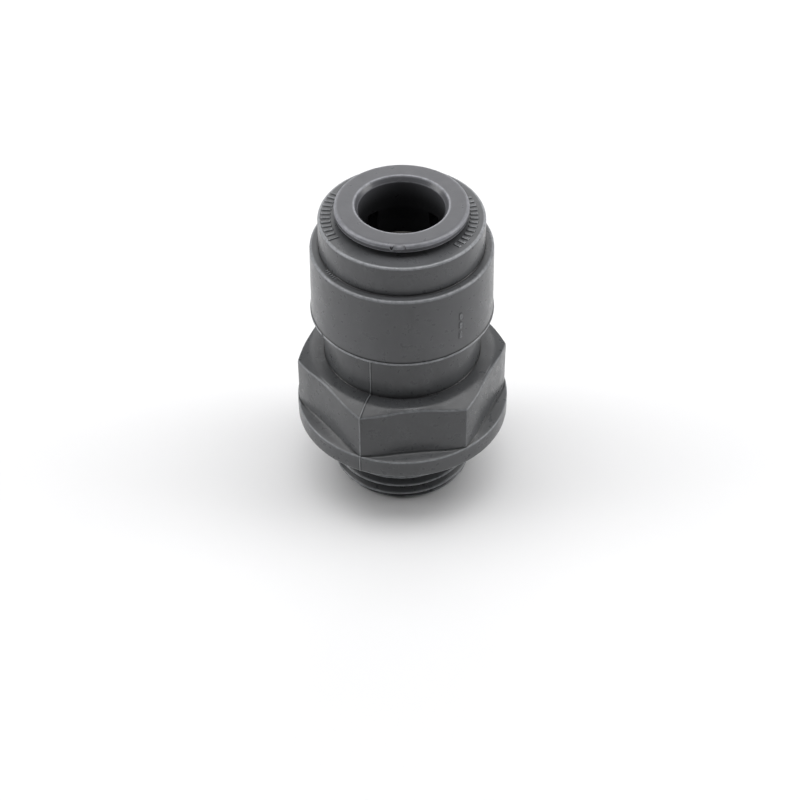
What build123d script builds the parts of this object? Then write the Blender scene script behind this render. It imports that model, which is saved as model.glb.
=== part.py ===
from build123d import *
from math import cos, radians, sin, tan
import os

# Push-to-connect straight adaptor: a tube socket on top, a parallel pipe thread below.
# Millimetres. +Z runs up the bore, and the origin is the centre of the thread's end face.

# ---------------------------------------------------------------- driving dimensions

# The tube that plugs in, 3/8 in outside diameter, and the passage behind it
tube_diameter = 9.525
tube_clearance = 0.04
flow_diameter = 7.0
guide_length = 3.0

# G 3/8 parallel pipe thread, 19 turns per inch, 55 degree profile
thread_diameter = 16.662
thread_pitch = 25.4 / 19
thread_flank_angle = 27.5
thread_length = 8.5
thread_start_turns = 0.675
ridge_sunk = 0.1
lead_chamfer = 0.9
relief_undercut = 0.125
relief_length = 2.0

# Sealing flange and spanner hexagon
flange_diameter = 24.9
flange_rim_height = 2.25
flange_height = 2.65
flange_edge_radius = 0.2
hex_across_flats = 22.0
hex_across_corners = 24.6
hex_height = 6.6
hex_turn = 6.5
hex_corner_radius = 1.8
hex_chamfer_angle = 30
hex_chamfer_inset = 0.55

# Barrel: the stretch seen between hexagon and cap, and the stretch inside the cap
barrel_wall = 0.95
barrel_exposed = 6.2
barrel_engaged = 4.35
bead_height = 0.25
bead_lead = 0.5
bead_rise = 1.5

# Cap: wide band over the barrel, narrow collar above it
band_wall = 1.3
band_draft = 0.13
band_height = 8.95
band_edge_radius = 0.35
lip_proud = 0.12
lip_height = 0.35
collar_wall = 1.7
collar_height = 3.75
collar_edge_radius = 0.3
cap_clearance = 0.03
neck_hole_length = 1.25

# Collet: release ring, neck and four spreading fingers
ring_overhang = 1.37
ring_thickness = 0.92
ring_edge_radius = 0.15
ring_gap = 0.73
mouth_chamfer_width = 0.4
mouth_chamfer_depth = 0.6
neck_wall = 1.25
neck_clearance = 0.12
finger_step = 1.15
finger_clearance = 0.35
finger_count = 4
finger_bevel = 0.8
finger_relief = 0.2
slot_turn = 42
slot_width = 1.55
slot_depth_below_rim = 4.0
cam_angle = 23

# How far the collet moves: pushed in to release the tube, drawn out to lock it
push_travel = 0.68
draw_travel = 0.7
cam_clearance = 0.25
foot_clearance = 0.4

# Stainless gripping teeth, one in each finger
tooth_bite = 0.14
tooth_angle = 26
tooth_cover = 0.46
tooth_thickness = 0.25
tooth_edge = 0.35
tooth_arc = 46
tooth_rise = 0.75
tooth_clearance = 0.02
tooth_arc_clearance = 1

# Tube seals: two round rings with a spacer between them, under a back-up washer
seal_section = 2.4
seal_squeeze = 0.16
seal_slack = 0.03
spacer_thickness = 1.0
washer_thickness = 1.0
washer_hold = 0.45
stack_clearance = 0.1
stack_bore_clearance = 0.2

# Thread seal: a round ring in a recess under the flange
thread_seal_section = 1.8
thread_seal_slack = 0.03
recess_clearance = 0.12
recess_depth = 1.2

# Raised moulding marks, all plain: radial ticks on the cap, bars on the band, a gate stub
tick_height = 0.12
tick_width = 0.3
left_tick_start = 151.5
left_tick_step = 5.1
left_tick_count = 11
left_tick_gap = 0.45
left_tick_length = 1.0
right_tick_start = -41.2
right_tick_step = 5.35
right_tick_count = 13
right_tick_gap = 0.12
right_tick_length = 0.85
line_turn = 208.5
line_margin = 0.35
line_width = 0.12
bar_turn = 38
bar_count = 3
bar_rise = 3.85
bar_step = 1.3
bar_width = 0.75
bar_thickness = 0.35
gate_turn = -2.5
gate_diameter = 0.7

# ---------------------------------------------------------------- worked-out sizes

# Radii of the collet and of the cap round it, from the tube out
socket_r = tube_diameter / 2 + tube_clearance
neck_r = socket_r + neck_wall
neck_hole_r = neck_r + neck_clearance
ring_r = neck_r + ring_overhang
finger_r = neck_r + finger_step
finger_bore_r = socket_r + finger_relief
cavity_r = finger_r + finger_clearance
collar_r = cavity_r + collar_wall
face_mid_r = (ring_r + collar_r) / 2
face_width = collar_r - ring_r

# Radii of the seals and of the barrel and band round them
seal_bore_r = tube_diameter / 2 - seal_squeeze
seal_centre_r = seal_bore_r + seal_section / 2
chamber_r = seal_bore_r + seal_section + seal_slack
spacer_r = chamber_r - stack_clearance
stack_bore_r = socket_r + stack_bore_clearance
washer_r = cavity_r + washer_hold
seat_r = washer_r + stack_clearance
barrel_r = seat_r + barrel_wall
cap_bore_r = barrel_r + cap_clearance
band_r = cap_bore_r + band_wall
band_top_r = band_r - band_draft
lip_r = band_r + lip_proud

# Radii of the flange, the hexagon and its top chamfer
flange_r = flange_diameter / 2
flat_r = hex_across_flats / 2
hex_corner_r = hex_across_corners / 2
chamfer_r = flat_r - hex_chamfer_inset
chamfer_cut_r = hex_corner_r + hex_chamfer_inset
chamfer_drop = (chamfer_cut_r - chamfer_r) * tan(radians(hex_chamfer_angle))

# Thread section, relief groove and the seal round it
flow_r = flow_diameter / 2
thread_r = thread_diameter / 2
thread_depth = 0.640327 * thread_pitch
thread_root_r = thread_r - thread_depth
crest_half = thread_pitch / 12
ridge_foot_half = crest_half + (thread_depth + ridge_sunk) * tan(radians(thread_flank_angle))
lead_r = thread_r - lead_chamfer
cut_r = thread_r + thread_pitch
relief_r = thread_root_r - relief_undercut
thread_seal_r = relief_r + thread_seal_slack + thread_seal_section / 2
recess_r = thread_seal_r + thread_seal_section / 2 + recess_clearance

# Heights, from the thread's end face up
relief_z = thread_length - relief_length
thread_start_z = -thread_start_turns * thread_pitch
flange_z = thread_length
hex_foot_z = flange_z + flange_height
hex_top_z = hex_foot_z + hex_height
cap_foot_z = hex_top_z + barrel_exposed
barrel_top_z = cap_foot_z + barrel_engaged
bead_foot_z = cap_foot_z + bead_rise
bead_crest_z = bead_foot_z + bead_height
bead_top_z = bead_crest_z + bead_lead
lip_top_z = cap_foot_z + lip_height
band_top_z = cap_foot_z + band_height
cap_top_z = band_top_z + collar_height
ring_foot_z = cap_top_z + ring_gap
ring_top_z = ring_foot_z + ring_thickness
collet_foot_z = barrel_top_z + push_travel + foot_clearance
slot_top_z = ring_top_z - slot_depth_below_rim

# Tube seals, packed down from the barrel's top
seal_room = seal_section + 2 * seal_slack
washer_foot_z = barrel_top_z - washer_thickness
spacer_top_z = washer_foot_z - seal_room
spacer_foot_z = spacer_top_z - spacer_thickness
chamber_foot_z = spacer_foot_z - seal_room
tube_stop_z = chamber_foot_z - guide_length
upper_seal_z = spacer_top_z + seal_room / 2
lower_seal_z = chamber_foot_z + seal_room / 2
thread_seal_z = flange_z + recess_depth - thread_seal_slack - thread_seal_section / 2

# The cam inside the cap, and the finger cone that lies parallel below it
cam_slope = tan(radians(cam_angle))
cam_top_z = cap_top_z - neck_hole_length
cam_foot_z = cam_top_z - (cavity_r - neck_hole_r) / cam_slope
cone_top_z = cam_top_z + neck_clearance / cam_slope - draw_travel - cam_clearance
cone_foot_z = cone_top_z - (finger_r - neck_r) / cam_slope

# Teeth: the profile starts at the gripping edge and slopes up and out into the finger
tooth_tip_r = tube_diameter / 2 - tooth_bite
tooth_tip_z = collet_foot_z + tooth_rise
tooth_length = (finger_r - tooth_cover - tooth_tip_r) / cos(radians(tooth_angle))
pocket_arc = tooth_arc + tooth_arc_clearance
finger_pitch = 360 / finger_count
finger_turns = [slot_turn + finger_pitch * (i + 0.5) for i in range(finger_count)]


def radial_plane(turn):
    """The upright half plane at an angle from +X, with x outwards and y up."""
    a = radians(turn)
    return Plane(origin=(0, 0, 0), x_dir=(cos(a), sin(a), 0), z_dir=(sin(a), -cos(a), 0))


def tangent_plane(turn, radius, height):
    """The plane that touches a cylinder about Z at a turn and a height, facing out, y up."""
    a = radians(turn)
    return Plane(
        origin=(radius * cos(a), radius * sin(a), height),
        x_dir=(-sin(a), cos(a), 0),
        z_dir=(cos(a), sin(a), 0),
    )


def outer_rim(part, height):
    """The widest round edge of a part at a height."""
    near = 0.01
    rims = part.edges().filter_by(GeomType.CIRCLE)
    return rims.filter_by_position(Axis.Z, height - near, height + near).sort_by(SortBy.RADIUS)[-1]


def tooth_outline(grow):
    """Corners of a tooth's section as radius and height, grown all round for its pocket."""
    a = radians(tooth_angle)
    along = (cos(a), sin(a))
    across = (-sin(a), cos(a))
    corners = [
        (-grow, -grow),
        (tooth_length + grow, -grow),
        (tooth_length + grow, tooth_thickness + grow),
        (tooth_edge - grow, tooth_thickness + grow),
    ]
    return [
        (tooth_tip_r + u * along[0] + v * across[0], tooth_tip_z + u * along[1] + v * across[1])
        for u, v in corners
    ]


# ---------------------------------------------------------------- body

with BuildPart() as body:
    # Threaded shank: a core at root diameter and one helical ridge round it
    Cylinder(thread_root_r, flange_z, align=(Align.CENTER, Align.CENTER, Align.MIN))
    with BuildLine() as thread_path:
        Helix(
            pitch=thread_pitch,
            height=relief_z + thread_pitch - thread_start_z,
            radius=thread_root_r,
            center=(0, 0, thread_start_z),
        )
    ridge_plane = Plane(
        origin=thread_path.line @ 0,
        x_dir=(1, 0, 0),
        z_dir=thread_path.line % 0,
    )
    with BuildSketch(ridge_plane):
        with BuildLine():
            Polyline(
                (-ridge_sunk, -ridge_foot_half),
                (thread_depth, -crest_half),
                (thread_depth, crest_half),
                (-ridge_sunk, ridge_foot_half),
                close=True,
            )
        make_face()
    sweep(path=thread_path.line, is_frenet=True)

    # Lead chamfer and square end
    with BuildSketch(Plane.XZ):
        with BuildLine():
            Polyline(
                (0, 0),
                (lead_r, 0),
                (cut_r, cut_r - lead_r),
                (cut_r, -2 * thread_pitch),
                (0, -2 * thread_pitch),
                close=True,
            )
        make_face()
    revolve(axis=Axis.Z, mode=Mode.SUBTRACT)

    # Relief groove between the thread and the flange
    with BuildSketch(Plane.XZ):
        with BuildLine():
            Polyline(
                (relief_r, relief_z),
                (cut_r, relief_z - (cut_r - relief_r) / 2),
                (cut_r, flange_z + thread_pitch),
                (relief_r, flange_z + thread_pitch),
                close=True,
            )
        make_face()
    revolve(axis=Axis.Z, mode=Mode.SUBTRACT)

    # Spanner hexagon with softened, turned corners, and its top chamfer
    with BuildSketch(Plane.XY.offset(flange_z)) as hexagon:
        RegularPolygon(flat_r, 6, major_radius=False, rotation=hex_turn)
        fillet(hexagon.vertices(), hex_corner_radius)
        Circle(hex_corner_r, mode=Mode.INTERSECT)
    extrude(amount=flange_height + hex_height)
    with BuildSketch(Plane.XZ):
        with BuildLine():
            Polyline(
                (chamfer_r, hex_top_z),
                (chamfer_cut_r, hex_top_z),
                (chamfer_cut_r, hex_top_z - chamfer_drop),
                close=True,
            )
        make_face()
    revolve(axis=Axis.Z, mode=Mode.SUBTRACT)

    # Flange with its sloping top, and the barrel with its snap bead
    with BuildSketch(Plane.XZ):
        with BuildLine():
            Polyline(
                (0, flange_z),
                (flange_r, flange_z),
                (flange_r, flange_z + flange_rim_height),
                (flat_r, hex_foot_z),
                (barrel_r, hex_foot_z),
                (barrel_r, bead_foot_z),
                (barrel_r + bead_height, bead_crest_z),
                (barrel_r, bead_top_z),
                (barrel_r, barrel_top_z),
                (0, barrel_top_z),
                close=True,
            )
        make_face()
    revolve(axis=Axis.Z)

    # Recess for the thread seal
    with BuildSketch(Plane.XY.offset(flange_z)):
        Circle(recess_r)
        Circle(relief_r, mode=Mode.SUBTRACT)
    extrude(amount=recess_depth, mode=Mode.SUBTRACT)

    # Passage, tube stop, guide bore, seal chamber and the washer's seat
    with BuildSketch(Plane.XZ):
        with BuildLine():
            Polyline(
                (0, 0),
                (flow_r, 0),
                (flow_r, tube_stop_z),
                (socket_r, tube_stop_z),
                (socket_r, chamber_foot_z),
                (chamber_r, chamber_foot_z),
                (chamber_r, washer_foot_z),
                (seat_r, washer_foot_z),
                (seat_r, barrel_top_z),
                (0, barrel_top_z),
                close=True,
            )
        make_face()
    revolve(axis=Axis.Z, mode=Mode.SUBTRACT)
    fillet(outer_rim(body, flange_z), flange_edge_radius)
body.part.label = "body"

# ---------------------------------------------------------------- cap

with BuildPart() as cap:
    with BuildSketch(Plane.XZ):
        with BuildLine():
            Polyline(
                (cap_bore_r, cap_foot_z),
                (lip_r, cap_foot_z),
                (lip_r, lip_top_z - (lip_r - band_r)),
                (band_r, lip_top_z),
                (band_top_r, band_top_z),
                (collar_r, band_top_z),
                (collar_r, cap_top_z),
                (neck_hole_r, cap_top_z),
                (neck_hole_r, cam_top_z),
                (cavity_r, cam_foot_z),
                (cavity_r, barrel_top_z),
                (cap_bore_r, barrel_top_z),
                (cap_bore_r, bead_top_z + cap_clearance),
                (cap_bore_r + bead_height, bead_crest_z + cap_clearance),
                (cap_bore_r, bead_foot_z - cap_clearance),
                close=True,
            )
        make_face()
    revolve(axis=Axis.Z)
    fillet(outer_rim(cap, cap_top_z), collar_edge_radius)
    fillet(outer_rim(cap, band_top_z), band_edge_radius)

    # Radial ticks on the cap's top face, in two arcs, and one line across the face
    with BuildSketch(Plane.XY.offset(cap_top_z)):
        for start, step, count, gap, length in (
            (left_tick_start, left_tick_step, left_tick_count, left_tick_gap, left_tick_length),
            (right_tick_start, right_tick_step, right_tick_count, right_tick_gap, right_tick_length),
        ):
            middle_r = ring_r + gap + length / 2
            with PolarLocations(middle_r, count, start, step * (count - 1), endpoint=True):
                Rectangle(length, tick_width)
        with PolarLocations(face_mid_r, 1, line_turn):
            Rectangle(face_width - 2 * line_margin, line_width)
    extrude(amount=tick_height)

    # Raised bars on the band
    for i in range(bar_count):
        bar_z = cap_foot_z + bar_rise + bar_step * (i - (bar_count - 1) / 2)
        bar_r = band_r - band_draft * (bar_z - cap_foot_z) / band_height
        with BuildSketch(tangent_plane(bar_turn - 90, bar_r, bar_z)):
            Rectangle(bar_thickness, bar_width)
        extrude(amount=tick_height, both=True)
cap.part.label = "cap"

# ---------------------------------------------------------------- collet

with BuildPart() as collet:
    with BuildSketch(Plane.XZ):
        with BuildLine():
            Polyline(
                (finger_bore_r, collet_foot_z),
                (finger_r - finger_bevel, collet_foot_z),
                (finger_r, collet_foot_z + finger_bevel),
                (finger_r, cone_foot_z),
                (neck_r, cone_top_z),
                (neck_r, ring_foot_z),
                (ring_r, ring_foot_z),
                (ring_r, ring_top_z),
                (socket_r + mouth_chamfer_width, ring_top_z),
                (socket_r, ring_top_z - mouth_chamfer_depth),
                (socket_r, slot_top_z),
                (finger_bore_r, slot_top_z - finger_relief),
                close=True,
            )
        make_face()
    revolve(axis=Axis.Z)
    ring_rims = collet.edges().filter_by(GeomType.CIRCLE).group_by(SortBy.RADIUS)[-1]
    fillet(ring_rims, ring_edge_radius)

    # Slots that part the fingers
    with BuildSketch(Plane.XY.offset(collet_foot_z)):
        with PolarLocations((socket_r + finger_r) / 2, finger_count, slot_turn):
            Rectangle(2 * (finger_r - socket_r) + slot_width, slot_width)
    extrude(amount=slot_top_z - collet_foot_z, mode=Mode.SUBTRACT)

    # Pockets that hold the teeth
    for turn in finger_turns:
        with BuildSketch(radial_plane(turn - pocket_arc / 2)):
            with BuildLine():
                Polyline(*tooth_outline(tooth_clearance), close=True)
            make_face()
        revolve(axis=Axis.Z, revolution_arc=pocket_arc, mode=Mode.SUBTRACT)

    # Gate stub on the ring's edge
    with BuildSketch(tangent_plane(gate_turn - 90, ring_r, (ring_foot_z + ring_top_z) / 2)):
        Circle(gate_diameter / 2)
    extrude(amount=tick_height, both=True)
collet.part.label = "release_collet"

# ---------------------------------------------------------------- teeth

teeth = []
for i, turn in enumerate(finger_turns):
    with BuildPart() as tooth:
        with BuildSketch(radial_plane(turn - tooth_arc / 2)):
            with BuildLine():
                Polyline(*tooth_outline(0), close=True)
            make_face()
        revolve(axis=Axis.Z, revolution_arc=tooth_arc)
    tooth.part.label = f"gripping_tooth_{i + 1}"
    teeth.append(tooth)

# ---------------------------------------------------------------- seals and rings


def round_ring(label, centre_r, centre_z, section):
    """A round-section sealing ring about Z."""
    with BuildPart() as ring:
        with BuildSketch(Plane.XZ):
            with Locations((centre_r, centre_z)):
                Circle(section / 2)
        revolve(axis=Axis.Z)
    ring.part.label = label
    return ring


def flat_ring(label, outer_r, foot_z, thickness):
    """A flat ring that lets the tube through."""
    with BuildPart() as ring:
        with BuildSketch(Plane.XY.offset(foot_z)):
            Circle(outer_r)
            Circle(stack_bore_r, mode=Mode.SUBTRACT)
        extrude(amount=thickness)
    ring.part.label = label
    return ring


tube_seal_lower = round_ring("tube_seal_lower", seal_centre_r, lower_seal_z, seal_section)
tube_seal_upper = round_ring("tube_seal_upper", seal_centre_r, upper_seal_z, seal_section)
thread_seal = round_ring("thread_seal", thread_seal_r, thread_seal_z, thread_seal_section)
seal_spacer = flat_ring("seal_spacer", spacer_r, spacer_foot_z, spacer_thickness)
backup_washer = flat_ring("backup_washer", washer_r, washer_foot_z, washer_thickness)

# ---------------------------------------------------------------- export

os.makedirs("parts", exist_ok=True)
pieces = [body, cap, collet, *teeth]
pieces += [tube_seal_lower, seal_spacer, tube_seal_upper, backup_washer, thread_seal]
for piece in pieces:
    export_step(piece.part, f"parts/{piece.part.label}.step")
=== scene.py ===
"""Looks of a push to connect fitting: body, snap-on cap, release collet, teeth and seals.

Every piece is turned or swept about +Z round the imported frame. Sizes are in millimetres and placed
in metres. Turns are in degrees from +X towards +Y, and -Y is the front.
"""

import logging
from dataclasses import dataclass, field
from enum import Enum
from math import ceil, cos, degrees, hypot, radians, sin, tan
from typing import Callable, Sequence

import bmesh
import bpy
import numpy as np
from mathutils import Matrix, Vector

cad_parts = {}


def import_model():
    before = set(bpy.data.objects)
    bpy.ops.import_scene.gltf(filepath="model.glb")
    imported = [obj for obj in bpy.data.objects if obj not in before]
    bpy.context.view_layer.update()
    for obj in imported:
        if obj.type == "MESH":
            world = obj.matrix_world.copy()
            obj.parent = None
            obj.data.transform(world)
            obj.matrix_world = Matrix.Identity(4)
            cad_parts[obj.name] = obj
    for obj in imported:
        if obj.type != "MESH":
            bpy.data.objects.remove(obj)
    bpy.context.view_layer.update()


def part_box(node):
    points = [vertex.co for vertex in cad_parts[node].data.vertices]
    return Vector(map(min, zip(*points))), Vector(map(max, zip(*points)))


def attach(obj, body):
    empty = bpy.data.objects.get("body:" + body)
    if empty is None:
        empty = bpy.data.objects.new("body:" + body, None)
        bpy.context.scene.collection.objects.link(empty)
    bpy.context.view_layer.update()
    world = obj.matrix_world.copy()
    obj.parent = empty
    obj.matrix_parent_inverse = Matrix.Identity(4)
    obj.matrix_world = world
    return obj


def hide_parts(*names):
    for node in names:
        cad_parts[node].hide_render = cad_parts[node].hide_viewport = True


MM = 0.001
COLUMN_STEP = 0.9
LOG = logging.getLogger("fitting")

Point = tuple[float, float]
Colour = tuple[float, float, float]
Socket = bpy.types.NodeSocket
Relief = Callable[[np.ndarray, np.ndarray, np.ndarray], np.ndarray]


class Carrier(Enum):
    """The bodies that pieces ride on."""

    FITTING = "fitting"
    COLLET = "collet"


class Slot(Enum):
    """The record's material slots."""

    BODY = "body_plastic"
    CAP = "cap_plastic"
    COLLET = "collet_plastic"
    STEEL = "tooth_steel"
    RUBBER = "seal_rubber"
    RING = "ring_plastic"


@dataclass(frozen=True)
class SharedSizes:
    """Sizes that more than one moulding has to agree on, in millimetres and degrees."""

    tube_r: float = 4.7625
    socket_clearance: float = 0.04
    ring_bore_clearance: float = 0.2
    neck_wall: float = 1.25
    neck_clearance: float = 0.12
    neck_hole_length: float = 1.25
    cam_angle: float = 23.0
    bead_rise: float = 1.5
    bead_height: float = 0.25
    bead_lead: float = 0.5
    mark_height: float = 0.12

    @property
    def socket_r(self) -> float:
        """Radius of the bore that guides the tube."""
        return self.tube_r + self.socket_clearance

    @property
    def neck_r(self) -> float:
        """Outer radius of the collet's neck."""
        return self.socket_r + self.neck_wall

    @property
    def cam_slope(self) -> float:
        """Rise of radius over height along the cam."""
        return tan(radians(self.cam_angle))


SHARED = SharedSizes()


# ------------------------------------------------------------------ finishes


class NodeBench:
    """A material's node tree, with short calls that add and join its nodes."""

    def __init__(self, name: str) -> None:
        """Starts a material that has only a principled shader.

        Args:
            name: the material's name.
        """
        self.material = bpy.data.materials.new(name)
        self.material.use_nodes = True
        self.tree = self.material.node_tree
        self.shader = next(n for n in self.tree.nodes if n.type == "BSDF_PRINCIPLED")
        self.place = self.tree.nodes.new("ShaderNodeTexCoord").outputs["Object"]

    def join(self, source: Socket, target: Socket) -> None:
        """Links a source socket to a target socket."""
        self.tree.links.new(source, target)

    def noise(
        self, size: float, detail: float = 2.0, stretch: tuple[float, float, float] = (1, 1, 1)
    ) -> Socket:
        """Adds noise in the object's own space.

        Args:
            size: the size of a noise feature, in millimetres.
            detail: octaves of finer noise.
            stretch: scale of the noise along X, Y and Z.

        Returns:
            The noise value's socket, from 0 to 1.
        """
        mapping = self.tree.nodes.new("ShaderNodeMapping")
        mapping.inputs["Scale"].default_value = stretch
        self.join(self.place, mapping.inputs["Vector"])
        node = self.tree.nodes.new("ShaderNodeTexNoise")
        node.inputs["Scale"].default_value = 1 / (size * MM)
        node.inputs["Detail"].default_value = detail
        self.join(mapping.outputs["Vector"], node.inputs["Vector"])
        return node.outputs["Fac"]

    def attribute(self, name: str) -> Socket:
        """Reads a value stored on the mesh.

        Args:
            name: the mesh attribute.

        Returns:
            The value's socket.
        """
        node = self.tree.nodes.new("ShaderNodeAttribute")
        node.attribute_name = name
        return node.outputs["Fac"]

    def span(self, source: Socket, start: float, end: float, low: float, high: float) -> Socket:
        """Maps one range of a value to another, clamped.

        Args:
            source: the value to map.
            start: the value that maps to low.
            end: the value that maps to high.
            low: the least result.
            high: the greatest result.

        Returns:
            The mapped value's socket.
        """
        node = self.tree.nodes.new("ShaderNodeMapRange")
        node.inputs["From Min"].default_value = start
        node.inputs["From Max"].default_value = end
        node.inputs["To Min"].default_value = low
        node.inputs["To Max"].default_value = high
        self.join(source, node.inputs["Value"])
        return node.outputs["Result"]

    def times(self, first: Socket, second: Socket) -> Socket:
        """Multiplies two values.

        Args:
            first: one value.
            second: the other value.

        Returns:
            The product's socket.
        """
        node = self.tree.nodes.new("ShaderNodeMath")
        node.operation = "MULTIPLY"
        self.join(first, node.inputs[0])
        self.join(second, node.inputs[1])
        return node.outputs["Value"]

    def tint(self, factor: Socket, first: Socket | Colour, second: Colour) -> Socket:
        """Mixes two colours.

        Args:
            factor: 0 for the first colour, 1 for the second.
            first: a colour or a colour socket.
            second: a colour.

        Returns:
            The mixed colour's socket.
        """
        node = self.tree.nodes.new("ShaderNodeMix")
        node.data_type = "RGBA"
        factor_in, first_in, second_in = node.inputs[0], node.inputs[6], node.inputs[7]
        self.join(factor, factor_in)
        if isinstance(first, tuple):
            first_in.default_value = (*first, 1.0)
        else:
            self.join(first, first_in)
        second_in.default_value = (*second, 1.0)
        return node.outputs[2]

    def bump(self, height: Socket, depth: float, below: Socket | None = None) -> Socket:
        """Adds a bump layer.

        Args:
            height: the height value, from 0 to 1.
            depth: what a height of 1 stands for, in millimetres.
            below: the normal of the layer below, if there is one.

        Returns:
            The bumped normal's socket.
        """
        node = self.tree.nodes.new("ShaderNodeBump")
        node.inputs["Distance"].default_value = depth * MM
        self.join(height, node.inputs["Height"])
        if below is not None:
            self.join(below, node.inputs["Normal"])
        return node.outputs["Normal"]


def shade(colour: Colour, share: float) -> Colour:
    """A colour made lighter or darker.

    Args:
        colour: linear red, green and blue.
        share: what each is multiplied by.

    Returns:
        The new colour.
    """
    red, green, blue = colour
    return (red * share, green * share, blue * share)


@dataclass(frozen=True)
class MouldedPlastic:
    """Satin acetal from the mould: eroded grain, faint flow marks, painted highlights on convex
    edges and painted shade in creases.

    Sizes and depths are in millimetres, and shares are shares of the base colour.
    """

    name: str
    slot: Slot
    colour: Colour
    specular: float = 0.42
    roughness: float = 0.30
    roughness_drop: float = 0.05
    roughness_lift: float = 0.07
    patch_size: float = 0.9
    mottle: float = 0.05
    mottle_size: float = 2.6
    flow_size: float = 1.3
    flow_share: float = 0.88
    speck_size: float = 0.28
    speck_share: float = 1.7
    edge_highlight_noise_size: float = 0.5
    edge_highlight_share: float = 3.3
    crevice_shade_share: float = 0.15
    deep_share: float = 0.25
    grain_size: float = 0.16
    grain_depth: float = 0.006
    wave_size: float = 1.6
    wave_depth: float = 0.024

    def paint(self, bench: NodeBench) -> Socket:
        """Mixes the base colour: mottle, flow marks and specks, then painted highlights on convex
        edges, painted shade in creases and painted shade deep in the bore.

        Args:
            bench: the material's nodes.

        Returns:
            The colour's socket.
        """
        cloudy = bench.span(bench.noise(self.mottle_size, 3.0), 0.3, 0.7, 0.0, 1.0)
        dark, light = shade(self.colour, 1 - self.mottle), shade(self.colour, 1 + self.mottle)
        colour = bench.tint(cloudy, dark, light)
        flow = bench.span(bench.noise(self.flow_size, 2.0, (1, 1, 0.18)), 0.55, 0.8, 0.0, 0.35)
        colour = bench.tint(flow, colour, shade(self.colour, self.flow_share))
        specks = bench.span(bench.noise(self.speck_size, 0.0), 0.79, 0.85, 0.0, 0.22)
        colour = bench.tint(specks, colour, shade(self.colour, self.speck_share))
        # Convex edges are painted lighter: a painted highlight, broken up by noise.
        breakup = bench.span(bench.noise(self.edge_highlight_noise_size, 3.0), 0.25, 0.65, 0.45, 1.0)
        painted_edge_highlight = bench.times(bench.attribute("edge_highlight_and_shear"), breakup)
        colour = bench.tint(painted_edge_highlight, colour, shade(self.colour, self.edge_highlight_share))
        # Concave corners and creases are painted darker: painted shade where little light gets in.
        painted_crevice_shade = bench.attribute("painted_crevice_shade")
        colour = bench.tint(painted_crevice_shade, colour, shade(self.colour, self.crevice_shade_share))
        deep = bench.attribute("depth_shade")
        return bench.tint(deep, colour, shade(self.colour, self.deep_share))

    def material(self) -> bpy.types.Material:
        """Builds the material.

        Returns:
            The material.
        """
        bench = NodeBench(self.name)
        shader = bench.shader
        shader.inputs["Specular IOR Level"].default_value = self.specular
        bench.join(self.paint(bench), shader.inputs["Base Color"])
        low, high = self.roughness - self.roughness_drop, self.roughness + self.roughness_lift
        patchy = bench.span(bench.noise(self.patch_size, 4.0), 0.3, 0.7, low, high)
        bench.join(patchy, shader.inputs["Roughness"])
        eroded = bench.bump(bench.noise(self.grain_size, 2.0), self.grain_depth)
        waved = bench.bump(bench.noise(self.wave_size, 1.0), self.wave_depth, eroded)
        bench.join(waved, shader.inputs["Normal"])
        return bench.material


@dataclass(frozen=True)
class NitrileRubber:
    """Black sealing rubber with a dull bloom and a fine skin."""

    name: str = "nitrile_rubber"
    slot: Slot = Slot.RUBBER
    colour: Colour = (0.012, 0.012, 0.013)
    bloom: Colour = (0.035, 0.035, 0.037)

    def material(self) -> bpy.types.Material:
        """Builds the material.

        Returns:
            The material.
        """
        bench = NodeBench(self.name)
        dusty = bench.span(bench.noise(0.8, 4.0), 0.45, 0.75, 0.0, 1.0)
        bench.join(bench.tint(dusty, self.colour, self.bloom), bench.shader.inputs["Base Color"])
        bench.join(bench.span(dusty, 0.0, 1.0, 0.42, 0.7), bench.shader.inputs["Roughness"])
        skin = bench.bump(bench.noise(0.12, 2.0), 0.004)
        bench.join(skin, bench.shader.inputs["Normal"])
        return bench.material


@dataclass(frozen=True)
class StampedSteel:
    """Grey stainless strip with rolling lines and duller sheared edges."""

    name: str = "stamped_steel"
    slot: Slot = Slot.STEEL
    colour: Colour = (0.30, 0.30, 0.29)
    dull: Colour = (0.16, 0.155, 0.15)
    deep_share: float = 0.2

    def material(self) -> bpy.types.Material:
        """Builds the material.

        Returns:
            The material.
        """
        bench = NodeBench(self.name)
        bench.shader.inputs["Metallic"].default_value = 1.0
        rolled = bench.noise(0.35, 3.0, (1, 1, 14))
        uneven = bench.span(rolled, 0.2, 0.6, 0.5, 1.0)
        # On the steel the same convex-edge mask darkens the duller sheared edges.
        sheared = bench.times(bench.attribute("edge_highlight_and_shear"), uneven)
        colour = bench.tint(bench.span(rolled, 0.3, 0.7, 0.0, 0.5), self.colour, self.dull)
        colour = bench.tint(sheared, colour, self.dull)
        deep = bench.attribute("depth_shade")
        colour = bench.tint(deep, colour, shade(self.dull, self.deep_share))
        bench.join(colour, bench.shader.inputs["Base Color"])
        bench.join(bench.span(rolled, 0.3, 0.7, 0.22, 0.38), bench.shader.inputs["Roughness"])
        bench.join(bench.bump(rolled, 0.003), bench.shader.inputs["Normal"])
        return bench.material


@dataclass(frozen=True)
class WhiteSweep:
    """Matt white card under the fitting."""

    name: str = "white_sweep"
    colour: Colour = (0.705, 0.705, 0.71)
    unevenness: float = 0.008

    def material(self) -> bpy.types.Material:
        """Builds the material.

        Returns:
            The material.
        """
        bench = NodeBench(self.name)
        soft = bench.span(bench.noise(30.0, 2.0), 0.3, 0.7, 0.0, 1.0)
        colour = bench.tint(soft, shade(self.colour, 1 - self.unevenness), self.colour)
        bench.join(colour, bench.shader.inputs["Base Color"])
        bench.shader.inputs["Roughness"].default_value = 0.9
        bench.shader.inputs["Specular IOR Level"].default_value = 0.1
        return bench.material


Finish = MouldedPlastic | NitrileRubber | StampedSteel


# ------------------------------------------------------------------ turned meshes


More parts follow.
